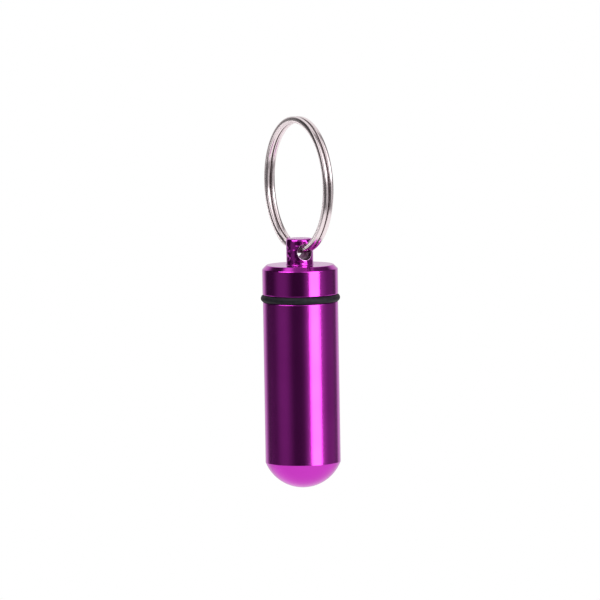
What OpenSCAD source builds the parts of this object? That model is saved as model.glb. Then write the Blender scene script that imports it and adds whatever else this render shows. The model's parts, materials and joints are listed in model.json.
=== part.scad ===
// Pill fob: a screw-capped metal capsule that hangs by its lug from a split key ring.
// Millimetres, +Z up, hanging upright. The origin is the hang point, at the top inside the key ring.
// The ring's plane is XZ, and the lug's hole runs along X.

/* [Capsule tube] */
// Outer diameter of the tube
body_d = 14; // [12:0.1:24]
// Length of the straight side, from the shoulder under the seal to the rim of the dome
tube_l = 30; // [12:0.1:60]
// Height of the domed bottom, from its rim to its lowest point
dome_h = 4.8; // [3:0.1:5.9]
// Thickness left under the tip of the chamber's drill point
floor_t = 2; // [1:0.1:4]
// Point angle of the drill that made the chamber
drill_angle = 118; // [90:1:140]
// Radius that breaks the tube's sharp outer edge at the shoulder
shoulder_round = 0.25; // [0.1:0.05:0.4]

/* [Neck] */
// Width of the shoulder that the seal sits on
shoulder_w = 1.05; // [0.8:0.05:1.4]
// Wall of the neck, from its thread's crest to the pill chamber
neck_wall = 1.15; // [0.8:0.05:2]
// Height of the neck above the shoulder
neck_h = 5; // [3:0.1:12]
// Lead-in chamfer at the neck's mouth
neck_chamfer = 0.45; // [0.1:0.05:0.6]
// Radius inside the neck's mouth
mouth_round = 0.15; // [0.05:0.05:0.2]

/* [Seal] */
// Thickness of the seal's rubber
seal_section = 1.4; // [1.2:0.1:2]
// Height that the seal is squeezed to between cap and shoulder
seal_gap = 1.3; // [0.9:0.05:1.9]
// Clearance of the seal to the neck and to both faces
seal_play = 0.03; // [0.01:0.01:0.1]

/* [Cap] */
// How far the cap's side stands out past the tube's
cap_step = 0.05; // [0:0.05:0.5]
// Thickness of the cap's top over its bore
roof_t = 1.3; // [0.8:0.1:4]
// Free space between the neck's mouth and the roof of the cap's bore
neck_play = 0.55; // [0.2:0.05:2]
// Radial clearance between the neck and the cap's bore
thread_play = 0.06; // [0.02:0.01:0.1]
// Chamfer round the cap's top edge
cap_chamfer = 0.8; // [0.4:0.05:1.2]
// Radius that breaks both edges of that chamfer
chamfer_round = 0.3; // [0.05:0.05:0.4]
// Radius of the cap's lower outer edge, over the seal
rim_round = 0.2; // [0.1:0.05:0.3]
// Chamfer at the mouth of the cap's bore
bore_chamfer = 0.3; // [0.1:0.05:0.4]

/* [Lug] */
// Diameter of the lug
lug_d = 5; // [4.4:0.1:6]
// Metal left above the cross hole, up to the lug's top
bridge_t = 1; // [0.6:0.05:2]
// Metal left below the cross hole, down to the cap's top
root_t = 1; // [0.6:0.05:3]
// Radius round the lug's top edge
lug_round = 0.45; // [0.1:0.05:0.6]
// Radius of the fillet where the lug stands on the cap
lug_fillet = 0.25; // [0.1:0.05:0.5]

/* [Key ring] */
// Outer diameter of the key ring
key_ring_d = 25.4; // [20:0.1:35]
// Width of the wire, along the ring's axis
wire_w = 0.94; // [0.8:0.02:1.1]
// Thickness of the wire, from the ring's inside to its outside
wire_t = 1.22; // [0.9:0.08:1.38]
// Corner radius of the wire's flattened section
wire_round = 0.38; // [0.15:0.01:0.39]
// Gap between the two turns
turn_gap = 0.04; // [0.02:0.01:0.2]
// Length of the crossover, where the wire steps from one turn to the other
crossover_l = 3; // [2.5:0.1:8]
// Distance between the lug's side and the crossover
crossover_clear = 0.1; // [0:0.05:5]
// Gap between each end of the wire and the crossover
end_gap = 0.3; // [0.15:0.05:1]
// Free space round the doubled wire in the lug's hole
hole_play = 0.45; // [0.3:0.01:0.6]
// Clearance between the wire and the hole's ceiling, where the capsule hangs on it
hang_play = 0.06; // [0.03:0.01:0.2]

/* [Hidden] */
$fn = 96;

// Overlap that makes a cut run clean through a face
through = 1;

// Key ring: radii, and the distance from mid-band to the middle of one turn
ring_out_r = key_ring_d / 2;
ring_in_r = ring_out_r - wire_t;
ring_mid_r = ring_out_r - wire_t / 2;
turn_y = (wire_w + turn_gap) / 2;
band_half = wire_w + turn_gap / 2;
ring_centre_z = -ring_in_r;

// Crossover: angles round the ring, from its lowest point towards -X, and the wire's slant there
crossover_low = asin((lug_d / 2 + crossover_clear) / ring_mid_r);
crossover_high = crossover_low + arc_angle(crossover_l);
crossover_mid = (crossover_low + crossover_high) / 2;
crossover_tilt = asin(turn_y / (ring_mid_r * sin(arc_angle(crossover_l) / 2)));
end_angle = arc_angle(end_gap);

// Angle that a length of wire takes up round the ring
function arc_angle(length) = length / ring_mid_r * 180 / PI;

// Lug hole: wide enough for the doubled wire, and placed so that the wire bears on its ceiling
band_corner_r = norm([band_half - wire_round, wire_t / 2 - wire_round]) + wire_round;
hole_r = band_corner_r + hole_play;
wire_rise = ring_mid_r - sqrt(pow(ring_mid_r, 2) - pow(lug_d / 2, 2));
wire_over_hole = sqrt(pow(hole_r - hang_play - wire_round, 2) - pow(band_half - wire_round, 2))
    + wire_round - wire_t / 2 - wire_rise;
hole_z = ring_centre_z - ring_mid_r - wire_over_hole;

// Cap height: the part of the neck that it holds, the space above that and the roof
cap_bore_h = neck_h - seal_gap + neck_play;
cap_h = cap_bore_h + roof_t;

// Heights down the capsule
lug_top_z = hole_z + hole_r + bridge_t;
cap_top_z = hole_z - hole_r - root_t;
cap_low_z = cap_top_z - cap_h;
shoulder_z = cap_low_z - seal_gap;
neck_top_z = shoulder_z + neck_h;
dome_rim_z = shoulder_z - tube_l;
dome_low_z = dome_rim_z - dome_h;

// Radii of the turned parts
body_r = body_d / 2;
cap_r = body_r + cap_step;
lug_r = lug_d / 2;
neck_r = body_r - shoulder_w;
chamber_r = neck_r - neck_wall;
cap_bore_r = neck_r + thread_play;
dome_r = (pow(body_r, 2) + pow(dome_h, 2)) / (2 * dome_h);
chamber_tip_z = dome_low_z + floor_t;
chamber_floor_z = chamber_tip_z + chamber_r / tan(drill_angle / 2);
seal_mid_r = neck_r + seal_play + seal_section / 2;
seal_half_h = seal_gap / 2 - seal_play;

ALUMINIUM = [0.48, 0.07, 0.46];
RUBBER = [0.06, 0.06, 0.065];
NICKEL = [0.8, 0.78, 0.78];

// Unit vector from one point towards another
function towards(a, b) = [b[0] - a[0], b[1] - a[1]] / norm([b[0] - a[0], b[1] - a[1]]);
// Interior half angle at a corner, between the directions u and v of its two edges
function half_angle(u, v) = acos(u * v) / 2;
// Positive where the outline turns left at b, which is a convex corner
function turn(a, b, c) = (b[0] - a[0]) * (c[1] - b[1]) - (b[1] - a[1]) * (c[0] - b[0]);

// Filled outline whose corners, [x, y, radius], run anticlockwise and are rounded by true arcs
module outline(corners) {
    n = len(corners);
    polygon([for (i = [0:n - 1]) each flat_corner(corners[(i + n - 1) % n], corners[i], corners[(i + 1) % n])]);
    for (i = [0:n - 1])
        if (corners[i][2] > 0)
            corner_arc(corners[(i + n - 1) % n], corners[i], corners[(i + 1) % n]);
}

// Distance from a corner to where its arc begins
function arc_reach(a, b, c) = b[2] / tan(half_angle(towards(b, a), towards(b, c)));
// A convex rounded corner is cut straight across, and its arc is added; other corners stay
function flat_corner(a, b, c) = b[2] > 0 && turn(a, b, c) > 0
    ? [arc_start(a, b, c), arc_start(c, b, a)]
    : [[b[0], b[1]]];
// Point where the arc at b meets the edge to a
function arc_start(a, b, c) = [b[0], b[1]] + arc_reach(a, b, c) * towards(b, a);
// Centre of the arc at b
function arc_centre(a, b, c) = [b[0], b[1]]
    + b[2] / sin(half_angle(towards(b, a), towards(b, c)))
    * (towards(b, a) + towards(b, c)) / norm(towards(b, a) + towards(b, c));

module corner_arc(a, b, c) {
    if (turn(a, b, c) > 0)
        translate(arc_centre(a, b, c)) circle(r = b[2]);
    else
        difference() {
            polygon([[b[0], b[1]], arc_start(a, b, c), arc_start(c, b, a)]);
            translate(arc_centre(a, b, c)) circle(r = b[2]);
        }
}

// Half section of the tube with its neck. Below the dome's rim it runs on as a cone inside the dome.
module tube_outline() {
    outline([
        [0, (dome_rim_z + dome_low_z) / 2, 0],
        [body_r, dome_rim_z, 0],
        [body_r, shoulder_z, shoulder_round],
        [neck_r, shoulder_z, 0],
        [neck_r, neck_top_z - neck_chamfer, 0],
        [neck_r - neck_chamfer, neck_top_z, 0],
        [0, neck_top_z, 0]
    ]);
}

// The dome is a slice of a sphere that meets the straight side in a slight crease
module dome() {
    intersection() {
        translate([0, 0, dome_low_z + dome_r]) sphere(r = dome_r);
        translate([0, 0, dome_low_z - through]) cylinder(r = body_r + through, h = dome_h + through);
    }
}

// Drilled chamber with its conical drill point and a rounded mouth
module chamber() {
    rotate_extrude()
        outline([
            [0, chamber_tip_z, 0],
            [chamber_r, chamber_floor_z, 0],
            [chamber_r, neck_top_z, mouth_round],
            [chamber_r + through, neck_top_z, 0],
            [chamber_r + through, neck_top_z + through, 0],
            [0, neck_top_z + through, 0]
        ]);
}

module capsule_body() {
    color(ALUMINIUM) difference() {
        union() {
            rotate_extrude() tube_outline();
            dome();
        }
        chamber();
    }
}

// Rubber ring, pressed flat above and below between cap and shoulder
module o_ring() {
    color(RUBBER) translate([0, 0, (cap_low_z + shoulder_z) / 2]) rotate_extrude()
        intersection() {
            translate([seal_mid_r, 0]) circle(d = seal_section);
            translate([0, -seal_half_h]) square([seal_mid_r + seal_section, 2 * seal_half_h]);
        }
}

// Half section of the cap with its lug, before boring
module cap_outline() {
    outline([
        [0, cap_low_z, 0],
        [cap_r, cap_low_z, rim_round],
        [cap_r, cap_top_z - cap_chamfer, chamfer_round],
        [cap_r - cap_chamfer, cap_top_z, chamfer_round],
        [lug_r, cap_top_z, lug_fillet],
        [lug_r, lug_top_z, lug_round],
        [0, lug_top_z, 0]
    ]);
}

module cap_bore() {
    translate([0, 0, cap_low_z - through]) cylinder(r = cap_bore_r, h = cap_bore_h + through);
    translate([0, 0, cap_low_z - through])
        cylinder(r1 = cap_bore_r + bore_chamfer + through, r2 = cap_bore_r, h = bore_chamfer + through);
}

module lug_hole() {
    translate([-lug_d, 0, hole_z]) rotate([0, 90, 0]) cylinder(r = hole_r, h = 2 * lug_d);
}

module cap() {
    color(ALUMINIUM) difference() {
        rotate_extrude() cap_outline();
        cap_bore();
        lug_hole();
    }
}

// Flattened section of the wire, at the ring's middle radius
module wire_section() {
    translate([ring_mid_r - wire_t / 2, -wire_w / 2])
        outline([
            [0, 0, wire_round],
            [wire_t, 0, wire_round],
            [wire_t, wire_w, wire_round],
            [0, wire_w, wire_round]
        ]);
}

// Arc of wire round the ring's axis, from one angle to another. Angles run from the ring's
// lowest point towards -X.
module wire_arc(from, to) {
    rotate([0, 90 + from, 0]) rotate([-90, 0, 0]) rotate_extrude(angle = to - from) wire_section();
}

// Rounds the slight bend where the crossover meets a turn
module wire_knuckle(at) {
    rotate([0, 90 + at, 0]) translate([ring_mid_r - wire_t / 2, 0, 0]) rotate([0, 90, 0])
        rotate_extrude() intersection() {
            translate([-wire_w / 2, 0])
                outline([
                    [0, 0, wire_round],
                    [wire_w, 0, wire_round],
                    [wire_w, wire_t, wire_round],
                    [0, wire_t, wire_round]
                ]);
            square([wire_w, wire_t]);
        }
}

// One wire in two turns side by side. It starts in the turn at +Y above the crossover, runs
// once round, slants over to the turn at -Y behind the lug, and ends below the crossover.
module split_ring() {
    color(NICKEL) translate([0, 0, ring_centre_z]) {
        translate([0, turn_y, 0]) wire_arc(crossover_high + end_angle, 360 + crossover_low);
        translate([0, -turn_y, 0]) wire_arc(crossover_high, 360 + crossover_low - end_angle);
        rotate([0, 90 + crossover_mid, 0]) rotate([-crossover_tilt, 0, 0])
            rotate([0, -90 - crossover_mid, 0]) wire_arc(crossover_low, crossover_high);
        translate([0, turn_y, 0]) wire_knuckle(crossover_low);
        translate([0, -turn_y, 0]) wire_knuckle(crossover_high);
    }
}

capsule_body();
cap();
o_ring();
split_ring();
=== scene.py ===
# A pill fob: a purple anodised capsule that hangs by the lug on its screw cap from a split key ring.
# It hangs upright, as photographed, with the hang point at the origin. Lengths are in metres.
import cmath
import json
import math

import bmesh
import bpy
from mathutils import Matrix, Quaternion, Vector


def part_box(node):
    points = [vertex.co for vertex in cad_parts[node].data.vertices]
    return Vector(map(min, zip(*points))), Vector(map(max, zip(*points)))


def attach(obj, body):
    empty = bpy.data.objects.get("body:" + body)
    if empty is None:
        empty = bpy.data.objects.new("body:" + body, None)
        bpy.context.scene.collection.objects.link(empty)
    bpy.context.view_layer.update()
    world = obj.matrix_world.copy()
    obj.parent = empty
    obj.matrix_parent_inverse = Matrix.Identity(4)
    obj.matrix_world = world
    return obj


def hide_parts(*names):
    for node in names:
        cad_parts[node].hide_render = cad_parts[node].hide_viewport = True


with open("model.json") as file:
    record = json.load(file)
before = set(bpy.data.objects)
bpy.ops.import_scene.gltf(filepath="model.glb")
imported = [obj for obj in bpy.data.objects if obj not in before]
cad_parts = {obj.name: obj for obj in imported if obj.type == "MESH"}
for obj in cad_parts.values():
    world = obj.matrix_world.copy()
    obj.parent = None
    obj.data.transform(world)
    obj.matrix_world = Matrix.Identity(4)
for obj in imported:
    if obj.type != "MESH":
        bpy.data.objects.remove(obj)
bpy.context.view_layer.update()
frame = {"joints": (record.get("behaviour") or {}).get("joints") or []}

# The tube is turned from aluminium bar: a domed bottom, a long polished side and, inside the cap, a
# neck with a right-hand thread. It is drilled for the pills and then anodised, which leaves a clear
# purple film on the metal.
MM = 0.001

tube_low, tube_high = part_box("capsule_body")
tube_radius = tube_high.x
dome_low = tube_low.z
neck_top = tube_high.z

dome_height = 4.8 * MM
dome_radius = (tube_radius**2 + dome_height**2) / (2 * dome_height)
dome_rim = dome_low + dome_height
rim_round = 0.2 * MM
shoulder_width = 1.05 * MM
shoulder_round = 0.25 * MM
neck_height = 5 * MM
shoulder = neck_top - neck_height
neck_radius = tube_radius - shoulder_width
neck_chamfer = 0.45 * MM
neck_wall = 1.15 * MM
mouth_round = 0.15 * MM
edge_break = 0.05 * MM
floor_thickness = 2 * MM
drill_angle = 118
chamber_radius = neck_radius - neck_wall
chamber_tip = dome_low + floor_thickness
chamber_floor = chamber_tip + chamber_radius / math.tan(math.radians(drill_angle / 2))

thread_pitch = 1 * MM
thread_depth = 0.5 * MM
thread_angle = 60
thread_crest = 0.45
thread_fade = 0.4 * MM
seal_seat = 1.35 * MM
neck_thread_low = shoulder + seal_seat

columns = 192
dome_rows = 24
rows_per_turn = 20
weld_distance = MM / 10000

# Cap and lug differ in finish, and shade and a highlight are painted round the lug's hole; their sizes come
# here.
cap_low, cap_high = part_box("cap")
cap_mouth = cap_low.z
lug_top = cap_high.z
hole_height = next(joint["pos_m"][2] for joint in frame["joints"] if joint["name"] == "cap_swing")
bridge_over_hole = 1 * MM
root_under_hole = 1 * MM
hole_radius = lug_top - hole_height - bridge_over_hole
cap_top = hole_height - hole_radius - root_under_hole
lug_radius = 2.5 * MM
lug_fillet = 0.25 * MM


def rounded(corners, steps=6):
    """Outline through corners of (radius, height, rounding), where each rounding is an arc."""
    spots = [complex(radius, height) for radius, height, _ in corners]
    points = [spots[0]]
    for before, here, after, corner in zip(spots, spots[1:], spots[2:], corners[1:]):
        back = (before - here) / abs(before - here)
        ahead = (after - here) / abs(after - here)
        if corner[2] == 0:
            points.append(here)
            continue
        swing = cmath.phase(-ahead / back)
        centre = here + (back + ahead) / abs(back + ahead) * corner[2] / math.cos(swing / 2)
        start = here + back * corner[2] * math.tan(abs(swing) / 2)
        points += [centre + (start - centre) * cmath.rect(1, swing * n / steps) for n in range(steps + 1)]
    points.append(spots[-1])
    return eased(points)


def eased(points):
    """The same outline with a point near both ends of each long stretch, so that it shades flat."""
    ease = 0.06 * MM
    outline = points[:1]
    for start, end in zip(points, points[1:]):
        stretch = end - start
        if abs(stretch) > 4 * ease:
            outline.append(start + stretch / abs(stretch) * ease)
            outline.append(end - stretch / abs(stretch) * ease)
        outline.append(end)
    return [(point.real, point.imag) for point in outline]


def weave(shape, rows):
    """Adds the faces between neighbouring closed rows of vertices. A pole is a row of one vertex."""
    for row, following in zip(rows, rows[1:]):
        for n in range(len(row)):
            corners = [row[n - 1], row[n], following[n], following[n - 1]]
            shape.faces.new(dict.fromkeys(corners))


def revolve(shape, outline, cut=lambda angle, radius, height: radius):
    """Turns an outline of (radius, height) points round Z. A cut changes the radius from place to place."""
    rows = []
    for radius, height in outline:
        if radius < weld_distance:
            rows.append([shape.verts.new((0, 0, height))] * columns)
            continue
        row = []
        for column in range(columns):
            angle = math.tau * column / columns
            reach = cut(angle, radius, height)
            row.append(shape.verts.new((reach * math.cos(angle), reach * math.sin(angle), height)))
        rows.append(row)
    weave(shape, rows)


def thread_groove(angle, height):
    """Depth of the thread's groove at a place, with straight flanks between a flat crest and root."""
    phase = ((height - shoulder) / thread_pitch - angle / math.tau) % 1
    flank = thread_depth * math.tan(math.radians(thread_angle / 2)) * 2 / thread_pitch
    crest = (1 - flank) * thread_crest
    return thread_depth * min(max((abs(2 * phase - 1) - crest) / flank, 0), 1)


def neck_thread(angle, radius, height):
    """Cuts the thread into the neck, fading in above the plain part that the seal sits on."""
    if height < neck_thread_low or radius < chamber_radius + mouth_round:
        return radius
    depth = thread_groove(angle, height) * min((height - neck_thread_low) / thread_fade, 1)
    return min(radius, neck_radius - depth)


def solid(name, shape, finish):
    """A named object of a bmesh, smooth, with its material."""
    bmesh.ops.remove_doubles(shape, verts=shape.verts, dist=weld_distance)
    bmesh.ops.recalc_face_normals(shape, faces=shape.faces)
    mesh = bpy.data.meshes.new(name)
    shape.to_mesh(mesh)
    shape.free()
    mesh.materials.append(finish)
    mesh.shade_smooth()
    made = bpy.data.objects.new(name, mesh)
    bpy.context.collection.objects.link(made)
    return made


class Shade:
    """A socket of a shader. Arithmetic on it adds Math nodes, and add() makes any other node."""

    def __init__(self, tree, socket=None):
        self.tree = tree
        self.socket = socket

    def __getitem__(self, name):
        return Shade(self.tree, self.socket.node.outputs[name])

    def add(self, kind, settings, values):
        """A node of this kind, with its settings made first and then its sockets' values or links."""
        node = self.tree.nodes.new("ShaderNode" + kind)
        for name, setting in settings.items():
            setattr(node, name, setting)
        for name, value in values.items():
            socket = next(s for s in node.inputs if s.enabled and name in (s.name, s.identifier))
            if isinstance(value, Shade):
                self.tree.links.new(value.socket, socket)
            else:
                socket.default_value = value
        return Shade(self.tree, next((s for s in node.outputs if s.enabled), None))

    def math(self, operation, *operands):
        return self.add("Math", {"operation": operation}, dict(zip(["Value", "Value_001"], operands)))

    def mix(self, start, end):
        """The colour that goes from start to end as this value goes from 0 to 1."""
        return self.add("Mix", {"data_type": "RGBA"}, {"Factor": self, "A": start, "B": end})

    def ease(self, low, high, start=0.0, end=1.0):
        """Goes smoothly from start to end as this value goes from low to high."""
        ends = {"From Min": low, "From Max": high, "To Min": start, "To Max": end}
        return self.add("MapRange", {"interpolation_type": "SMOOTHSTEP"}, {"Value": self, **ends})

    def band(self, low, high, soft):
        """Is 1 between low and high, with soft ends that are centred on them."""
        return self.ease(low - soft, low + soft) * self.ease(high + soft, high - soft)

    def __add__(self, other):
        return self.math("ADD", self, other)

    def __sub__(self, other):
        return self.math("SUBTRACT", self, other)

    def __rsub__(self, other):
        return self.math("SUBTRACT", other, self)

    def __mul__(self, other):
        return self.math("MULTIPLY", self, other)

    __radd__ = __add__


def new_material(name):
    """An empty material and the start of its shader."""
    made = bpy.data.materials.new(name)
    made.use_nodes = True
    made.node_tree.nodes.clear()
    return made, Shade(made.node_tree)


anodised, film = new_material("purple_anodised_aluminium")
place = film.add("TexCoord", {}, {})["Object"]
axes = film.add("SeparateXYZ", {}, {"Vector": place})
height = axes["Z"]
radius = film.math("SQRT", axes["X"] * axes["X"] + axes["Y"] * axes["Y"])

# The lathe left fine lines round the metal, the dye is a little cloudy and the cap is polished best.
along_outline = (height + radius) * (9 / MM)
tool_lines = film.add("TexNoise", {"noise_dimensions": "1D"}, {"W": along_outline, "Detail": 2.0})
grain = film.add("TexNoise", {}, {"Vector": place, "Scale": 4 / MM, "Detail": 2.0})
clouds = film.add("TexNoise", {}, {"Vector": place, "Scale": 0.12 / MM, "Detail": 2.0})
dye = clouds.ease(0.3, 0.7).mix((0.50, 0.038, 0.46, 1), (0.54, 0.044, 0.50, 1))
surface = film.add("Bump", {}, {"Height": tool_lines + grain * 0.5, "Strength": 0.25, "Distance": 0.001 * MM})
polish = height.ease(shoulder, cap_mouth, 0.18, 0.13)

# The lug is dented. Its hole is duller inside and has painted shade there, with a painted highlight line
# round its rim.
above_hole = height - hole_height
from_hole = film.math("SQRT", axes["Y"] * axes["Y"] + above_hole * above_hole)
on_lug = height.ease(cap_top, cap_top + lug_fillet)
on_lug *= radius.ease(lug_radius + lug_fillet, lug_radius + 0.1 * MM)
in_hole = from_hole.ease(hole_radius + 0.15 * MM, hole_radius + 0.05 * MM) * on_lug
rim_highlight_mask = from_hole.band(hole_radius + 0.06 * MM, hole_radius + 0.11 * MM, 0.03 * MM) * on_lug
# Painted shade: the hole's inside is coloured dark.
dye_with_painted_hole_shade = in_hole.mix(dye, (0.12, 0.02, 0.10, 1))
# Painted highlight: a pale line is coloured round the hole's rim.
dye_with_painted_light = rim_highlight_mask.mix(dye_with_painted_hole_shade, (0.60, 0.42, 0.60, 1))
stretched = film.add("VectorMath", {"operation": "MULTIPLY"}, {"Vector": place, "Vector_001": (1, 1, 1.3)})
dents = film.add("TexNoise", {}, {"Vector": stretched, "Scale": 1.1 / MM, "Detail": 0.3}) * on_lug
knocked = film.add("Bump", {}, {"Height": dents, "Strength": 1.0, "Distance": 0.2 * MM, "Normal": surface})
metal = {
    "Base Color": dye_with_painted_light,
    "Metallic": 1.0,
    "Roughness": polish + tool_lines * 0.03 + grain * 0.02 + in_hole * 0.2,
    "Normal": knocked,
}
film.add("OutputMaterial", {}, {"Surface": film.add("BsdfPrincipled", {}, metal)})

tube_shape = bmesh.new()
dome_angle = math.asin(tube_radius / dome_radius)
dome_arc = [dome_angle * n / dome_rows for n in range(dome_rows)]
thread_turns = (neck_top - neck_chamfer - neck_thread_low) / thread_pitch
thread_rows = round(thread_turns * rows_per_turn)
tube_corners = [
    *[(dome_radius * math.sin(a), dome_low + dome_radius * (1 - math.cos(a)), 0) for a in dome_arc],
    (tube_radius, dome_rim, rim_round),
    (tube_radius, shoulder, shoulder_round),
    (neck_radius, shoulder, edge_break),
    *[(neck_radius, neck_thread_low + thread_pitch * n / rows_per_turn, 0) for n in range(thread_rows)],
    (neck_radius, neck_top - neck_chamfer, edge_break),
    (neck_radius - neck_chamfer, neck_top, edge_break),
    (chamber_radius, neck_top, mouth_round),
    (chamber_radius, chamber_floor, edge_break),
    (0, chamber_tip, 0),
]
revolve(tube_shape, rounded(tube_corners), neck_thread)
tube = solid("capsule_tube", tube_shape, anodised)
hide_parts("capsule_body")
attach(tube, "tube")

# The seal is a moulded ring of black rubber. The cap squeezes it flat against the tube's shoulder, so
# that its outside bulges past both.
seal_low, seal_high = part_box("o_ring")
seal_radius = 0.7 * MM
seal_middle = seal_high.x - seal_radius
seal_height = (seal_low.z + seal_high.z) / 2
seal_squeeze = math.asin((seal_high.z - seal_low.z) / 2 / seal_radius)
seal_rows = 14

rubber, skin = new_material("black_rubber")
place = skin.add("TexCoord", {}, {})["Object"]
dust = skin.add("TexNoise", {}, {"Vector": place, "Scale": 1.5 / MM, "Detail": 4.0})
pores = skin.add("TexNoise", {}, {"Vector": place, "Scale": 9 / MM, "Detail": 2.0})
black = dust.ease(0.35, 0.75).mix((0.004, 0.004, 0.006, 1), (0.013, 0.011, 0.016, 1))
matt = {
    "Base Color": black,
    "Roughness": 0.5 + dust * 0.2,
    "Specular IOR Level": 0.2,
    "Normal": skin.add("Bump", {}, {"Height": pores, "Strength": 0.3, "Distance": 0.01 * MM}),
}
skin.add("OutputMaterial", {}, {"Surface": skin.add("BsdfPrincipled", {}, matt)})

seal_shape = bmesh.new()
bulge = [seal_squeeze * (2 * n / seal_rows - 1) for n in range(seal_rows + 1)]
outside = [(seal_middle + seal_radius * math.cos(a), seal_height + seal_radius * math.sin(a)) for a in bulge]
inside = [(2 * seal_middle - reach, level) for reach, level in reversed(outside)]
revolve(seal_shape, [*outside, *inside, outside[0]])
seal = solid("rubber_seal", seal_shape, rubber)
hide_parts("o_ring")
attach(seal, "seal")

# The cap is turned from the same bar, with a chamfered top, and its lug is left standing in the middle
# and drilled across for the key ring. The bore takes the neck's thread.
cap_radius = cap_high.x
lug_round = 0.45 * MM
hole_round = 0.12 * MM
cap_chamfer = 0.8 * MM
chamfer_round = 0.3 * MM
cap_rim_round = 0.2 * MM
bore_play = 0.06 * MM
bore_radius = neck_radius + bore_play
bore_chamfer = 0.3 * MM
roof_thickness = 1.3 * MM
bore_roof = cap_top - roof_thickness
thread_play = 0.1 * MM
plain_mouth = 0.5 * MM
relief_height = 0.45 * MM
cap_thread_low = cap_mouth + plain_mouth
cap_thread_high = bore_roof - relief_height
hole_rows = 8
wall_rows = 14
wall_crowding = 1.3
side_steps = 30


def cap_thread(angle, radius, height):
    """Leaves the thread standing in the bore, between a plain mouth and a relief under the roof."""
    inside_bore = radius < bore_radius + edge_break
    if not inside_bore or not cap_thread_low < height < cap_thread_high:
        return radius
    fade = min((height - cap_thread_low) / thread_fade, (cap_thread_high - height) / thread_fade, 1)
    return radius - max(thread_groove(angle, height) - thread_play, 0) * fade


def lug_edge():
    """Border of half of the lug's wall, as (angle, height) places round a rectangle."""
    low = cap_top + lug_fillet
    high = lug_top - lug_round
    half = columns // 2
    turns = [math.pi * (n / half - 0.5) for n in range(half)]
    levels = [low + (high - low) * n / side_steps for n in range(side_steps)]
    below = [(angle, low) for angle in turns]
    right = [(math.pi / 2, level) for level in levels]
    above = [(-angle, high) for angle in turns]
    left = [(-math.pi / 2, low + high - level) for level in levels]
    return below + right + above + left


def lug_spoke(angle, height):
    """Points from a place on the border in to the hole's rounded rim and down to its wall."""
    bearing = math.atan2(height - hole_height, angle * lug_radius)
    clear = hole_radius + hole_round
    rim_angle = math.asin(clear * math.cos(bearing) / lug_radius)
    rim_height = hole_height + clear * math.sin(bearing)
    points = []
    for n in range(wall_rows):
        share = (1 - n / wall_rows) ** wall_crowding
        turn = rim_angle + (angle - rim_angle) * share
        level = rim_height + (height - rim_height) * share
        points.append((lug_radius * math.cos(turn), lug_radius * math.sin(turn), level))
    for n in range(hole_rows + 1):
        lean = math.pi / 2 * (1 - n / hole_rows)
        reach = hole_radius + hole_round * (1 - math.cos(lean))
        side = reach * math.cos(bearing)
        depth = math.sqrt(lug_radius**2 - side**2) - hole_round * (1 - math.sin(lean))
        points.append((depth, side, hole_height + reach * math.sin(bearing)))
    return points


cap_shape = bmesh.new()
thread_rows = round((cap_thread_high - cap_thread_low) / thread_pitch * rows_per_turn)
cap_corners = [
    (lug_radius, cap_top + lug_fillet, 0),
    (lug_radius, cap_top, lug_fillet),
    (cap_radius - cap_chamfer, cap_top, chamfer_round),
    (cap_radius, cap_top - cap_chamfer, chamfer_round),
    (cap_radius, cap_mouth, cap_rim_round),
    (bore_radius + bore_chamfer, cap_mouth, edge_break),
    (bore_radius, cap_mouth + bore_chamfer, edge_break),
    *[(bore_radius, cap_thread_low + thread_pitch * n / rows_per_turn, 0) for n in range(thread_rows)],
    (bore_radius, bore_roof, 2 * edge_break),
    (0, bore_roof, 0),
]
revolve(cap_shape, rounded(cap_corners), cap_thread)
lug_head = [(0, lug_top, 0), (lug_radius, lug_top, lug_round), (lug_radius, lug_top - lug_round, 0)]
revolve(cap_shape, rounded(lug_head))
spokes = []
for angle, level in lug_edge():
    near = lug_spoke(angle, level)
    far = [(-depth, side, height) for depth, side, height in reversed(near)]
    spokes.append([cap_shape.verts.new(point) for point in near + far])
weave(cap_shape, list(zip(*spokes)))
cap = solid("screw_cap", cap_shape, anodised)
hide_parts("cap")
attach(cap, "cap")

# The key ring is one length of flattened spring-steel wire, wound in two turns that lie side by side
# and nickel plated. The wire steps from one turn to the other behind the lug, where both ends are.
_, ring_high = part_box("split_ring")
ring_radius = ring_high.x
wire_thickness = ring_high.z
turn_gap = 0.04 * MM
wire_width = ring_high.y - turn_gap / 2
wire_bevel = 0.1 * MM
middle_radius = ring_radius - wire_thickness / 2
turn_offset = (wire_width + turn_gap) / 2
crossover_clear = 0.1 * MM
crossover_length = 3 * MM
crossover_start = math.asin((lug_radius + crossover_clear) / middle_radius)
crossover_end = crossover_start + crossover_length / middle_radius
crossover_top = wire_thickness - ring_radius - middle_radius * math.cos(crossover_end)
end_gap = 0.3 * MM
out_roundness = 0.64
side_roundness = 0.82
wire_steps = 1000
section_steps = 72

nickel, plating = new_material("nickel_plated_steel")
place = plating.add("TexCoord", {}, {})["Object"]
axes = plating.add("SeparateXYZ", {}, {"Vector": place})

# The seam between the turns has painted shade and is duller, except low down, where the crossover is.
from_seam = plating.math("ABSOLUTE", axes["Y"])
seam_shade_mask = from_seam.ease(0.16 * MM, 0.06 * MM) * axes["Z"].ease(crossover_top, crossover_top + 0.5 * MM)
haze = plating.add("TexNoise", {}, {"Vector": place, "Scale": 3 / MM, "Detail": 3.0})
tone = haze.ease(0.3, 0.7).mix((0.74, 0.64, 0.66, 1), (0.80, 0.70, 0.72, 1))
# The base colour carries painted shade along the seam.
bright = {
    "Base Color": seam_shade_mask.mix(tone, (0.28, 0.20, 0.21, 1)),
    "Metallic": 1.0,
    "Roughness": 0.2 + haze * 0.04 + seam_shade_mask * 0.25,
}
plating.add("OutputMaterial", {}, {"Surface": plating.add("BsdfPrincipled", {}, bright)})


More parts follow.
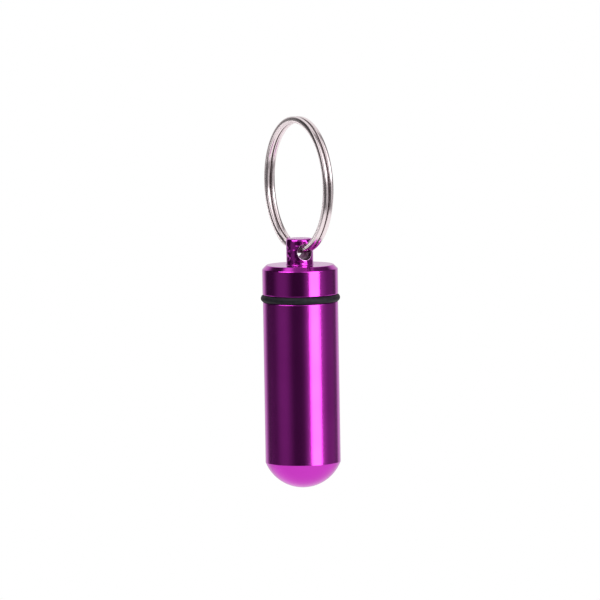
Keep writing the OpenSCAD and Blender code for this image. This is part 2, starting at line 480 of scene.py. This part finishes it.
def wire_section(inset):
    """The wire's flattened section as (out, side) points, shrunk all round by an inset."""
    half_out = wire_thickness / 2 - inset
    half_side = wire_width / 2 - inset
    points = []
    for n in range(section_steps):
        angle = math.tau * n / section_steps
        out = math.copysign(abs(math.cos(angle)) ** out_roundness, math.cos(angle))
        side = math.copysign(abs(math.sin(angle)) ** side_roundness, math.sin(angle))
        points.append((half_out * out, half_side * side))
    return points


def wire_side(angle):
    """Where the wire's middle lies along Y, at an angle counted from the ring's foot through both turns."""
    step = (angle - math.tau - crossover_start) / (crossover_end - crossover_start)
    step = min(max(step, 0), 1)
    return turn_offset * math.cos(math.pi * step)


def wire_row(shape, angle, inset):
    """One section of the wire at an angle round the ring."""
    row = []
    for out, side in wire_section(inset):
        reach = middle_radius + out
        x = -reach * math.sin(angle)
        z = wire_thickness - ring_radius - reach * math.cos(angle)
        row.append(shape.verts.new((x, wire_side(angle) + side, z)))
    return row


ring_shape = bmesh.new()
end_turn = end_gap / middle_radius
wire_from = crossover_end + end_turn
wire_to = 2 * math.tau + crossover_start - end_turn
bevel_turn = wire_bevel / middle_radius
wire_turn = wire_to - wire_from - 2 * bevel_turn
rows = [wire_row(ring_shape, wire_from, wire_bevel)]
for n in range(wire_steps + 1):
    rows.append(wire_row(ring_shape, wire_from + bevel_turn + wire_turn * n / wire_steps, 0))
rows.append(wire_row(ring_shape, wire_to, wire_bevel))
weave(ring_shape, rows)
ring_shape.faces.new(rows[0])
ring_shape.faces.new(rows[-1])
ring = solid("split_ring_wire", ring_shape, nickel)
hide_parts("split_ring")
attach(ring, "ring")

# The fob hangs in a plain white studio, above a white floor. Flagged softboxes light either the capsule
# or the ring: the key makes the broad stripe down the metal. The camera stands far off, a little above,
# and leans slightly.
view_azimuth = 63.3
view_elevation = 5.5
view_lean = 0.95
view_distance = 1.5
view_width = 111.5 * MM
aim = Vector((0, 0, -33.1 * MM))
floor_radius = 0.3
floor_depth = 0.25
softbox_watts = 4


def direction(right, up):
    """Unit vector out from the fob, at degrees to the right of the camera and above the horizon."""
    azimuth = math.radians(view_azimuth + right)
    elevation = math.radians(up)
    along = math.cos(elevation)
    return Vector((math.sin(azimuth) * along, -math.cos(azimuth) * along, math.sin(elevation)))


def softbox(name, pieces, right, up, width, height, brightness, distance=0.9):
    """A white rectangle of light that faces the fob, flagged so that it reaches only some pieces."""
    lamp = bpy.data.lights.new(name, "AREA")
    lamp.shape = "RECTANGLE"
    lamp.size = width
    lamp.size_y = height
    lamp.energy = brightness * softbox_watts * width * height
    held = bpy.data.objects.new(name, lamp)
    held.location = aim + direction(right, up) * distance
    held.rotation_euler = direction(right, up).to_track_quat("Z", "Y").to_euler()
    held.visible_camera = False
    bpy.context.collection.objects.link(held)
    lit = bpy.data.collections.new(name)
    for piece in pieces:
        lit.objects.link(piece)
    held.light_linking.receiver_collection = lit


capsule = [tube, seal, cap]
softbox("key", capsule, right=44, up=2, width=0.5, height=1, brightness=4.6)
softbox("edge_light", capsule, right=-54, up=45, width=0.7, height=0.25, brightness=4)
softbox("ring_key", [ring], right=44, up=22, width=0.5, height=0.4, brightness=1.3)
softbox("ring_fill", [ring], right=50, up=-8, width=0.5, height=0.5, brightness=0.3)
softbox("ring_card", [ring], right=-127, up=-3.6, width=0.16, height=0.014, brightness=1.6, distance=0.3)

floor_shape = bmesh.new()
bmesh.ops.create_circle(floor_shape, cap_ends=True, segments=96, radius=floor_radius)
bmesh.ops.translate(floor_shape, verts=floor_shape.verts, vec=(0, 0, -floor_depth))
white, paint = new_material("white_floor")
glow = paint.add("Emission", {}, {"Color": (1, 1, 1, 1), "Strength": 1.15})
below = paint.add("NewGeometry", {}, {})["Backfacing"]
clear = paint.add("BsdfTransparent", {}, {})
one_sided = paint.add("MixShader", {}, {"Fac": below, "Shader": glow, "Shader_001": clear})
paint.add("OutputMaterial", {}, {"Surface": one_sided})
floor = solid("floor", floor_shape, white)
floor.data.flip_normals()

world = bpy.data.worlds.new("studio")
world.use_nodes = True
world.node_tree.nodes.clear()
bpy.context.scene.world = world
air = Shade(world.node_tree)
heading = air.add("TexCoord", {}, {})["Generated"]
dot = {"operation": "DOT_PRODUCT"}
toward = air.add("VectorMath", dot, {"Vector": heading, "Vector_001": direction(0, 0)})
aside = air.add("VectorMath", dot, {"Vector": heading, "Vector_001": direction(90, 0)})
upward = air.add("SeparateXYZ", {}, {"Vector": heading})["Z"]
bearing = air.math("ARCTAN2", aside, toward) * math.degrees(1)
rise = air.math("ARCSINE", upward) * math.degrees(1)
behind = air.math("ABSOLUTE", bearing)

# Behind the fob, a white wall with a gap on the right gives the pale edges. The ground and a patch of
# the roof are white there too.
wall = behind.ease(121, 148) * rise.ease(45, 25) * (1 - bearing.band(100, 132, 8)) * 0.85
ground = behind.ease(80, 105) * rise.ease(-7, -15)
roof = (upward * 1.2 - toward).ease(1.30, 1.42)
walls = air.math("MAXIMUM", air.math("MAXIMUM", wall, ground), roof)

# A white tent hangs over the camera between two slanted edges. It is dim in its middle and overhead.
left_edge = (toward * 0.8 + aside * 0.49 + upward * 0.34).ease(-0.06, 0.06)
right_edge = (toward * 0.95 - aside * 0.29 + upward * 0.11).ease(-0.08, 0.08)
tent = left_edge * right_edge * rise.band(10, 76, 4) * (1.3 - bearing.band(-32, 12, 8))
zenith = rise.ease(72, 80) * 0.3

# Faint light at either side makes the soft glow left of the stripe and the stripe's soft edges.
under_tent = rise.ease(60, 30)
left_glow = bearing.band(-80, -36, 16) * under_tent * 0.19
right_glow = bearing.band(62, 125, 14) * 0.13
spill = bearing.ease(4, 30) * bearing.ease(95, 58) * under_tent * 0.28

brightness = walls * 0.95 + tent + zenith + left_glow + right_glow + spill + 0.04
seen = air.add("LightPath", {}, {})["Is Camera Ray"]
backdrop = air.add("Background", {}, {"Color": (1, 1, 1, 1)})
room = air.add("Background", {}, {"Color": (1, 1, 1, 1), "Strength": brightness})
sides = air.add("MixShader", {}, {"Fac": seen, "Shader": room, "Shader_001": backdrop})
air.add("OutputWorld", {}, {"Surface": sides})
bpy.context.scene.view_settings.view_transform = "Standard"

camera = bpy.data.cameras.new("camera")
camera.lens = camera.sensor_width * view_distance / view_width
camera.shift_x = -0.0008
camera.shift_y = 0.0009
stand = bpy.data.objects.new("camera", camera)
stand.location = aim + direction(0, view_elevation) * view_distance
stand.rotation_mode = "QUATERNION"
upright = direction(0, view_elevation).to_track_quat("Z", "Y")
stand.rotation_quaternion = upright @ Quaternion((0, 0, 1), -math.radians(view_lean))
bpy.context.collection.objects.link(stand)
bpy.context.scene.camera = stand
